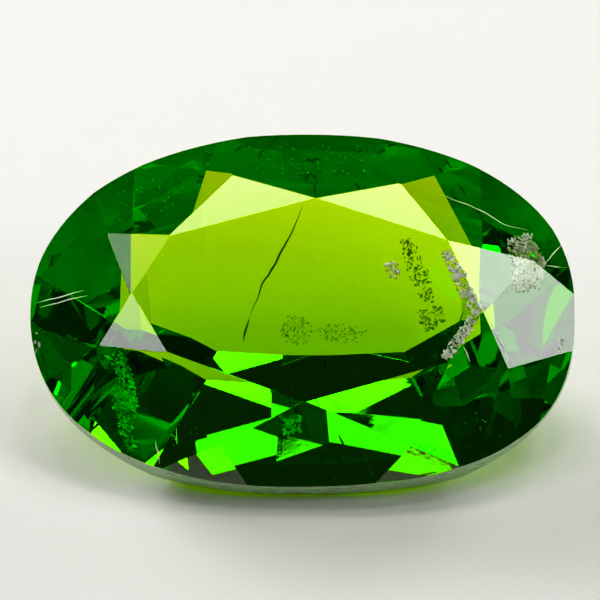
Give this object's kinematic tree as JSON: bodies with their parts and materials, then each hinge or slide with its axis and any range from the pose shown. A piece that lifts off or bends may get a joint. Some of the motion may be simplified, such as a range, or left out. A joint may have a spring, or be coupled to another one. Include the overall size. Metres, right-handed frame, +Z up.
{
  "type": "faceted chrome diopside",
  "caption": "Loose oval cut gemstone with an octagonal table and flat facets, clear chrome green, lying on a pavilion facet.",
  "frame": {"origin": "on the surface that the stone rests on, under the middle of its outline", "axes": "+X along the stone's long axis, +Z up; the stone lies on a pavilion facet, so its table faces up and towards -Y"},
  "size_m": [0.006, 0.0034, 0.0027],
  "materials": {
    "chrome_green": "polished, see-through, deep green with light scratches and a few small chips"
  },
  "bodies": {
    "root": {"chrome_diopside": "chrome_green"}
  },
  "joints": []
}
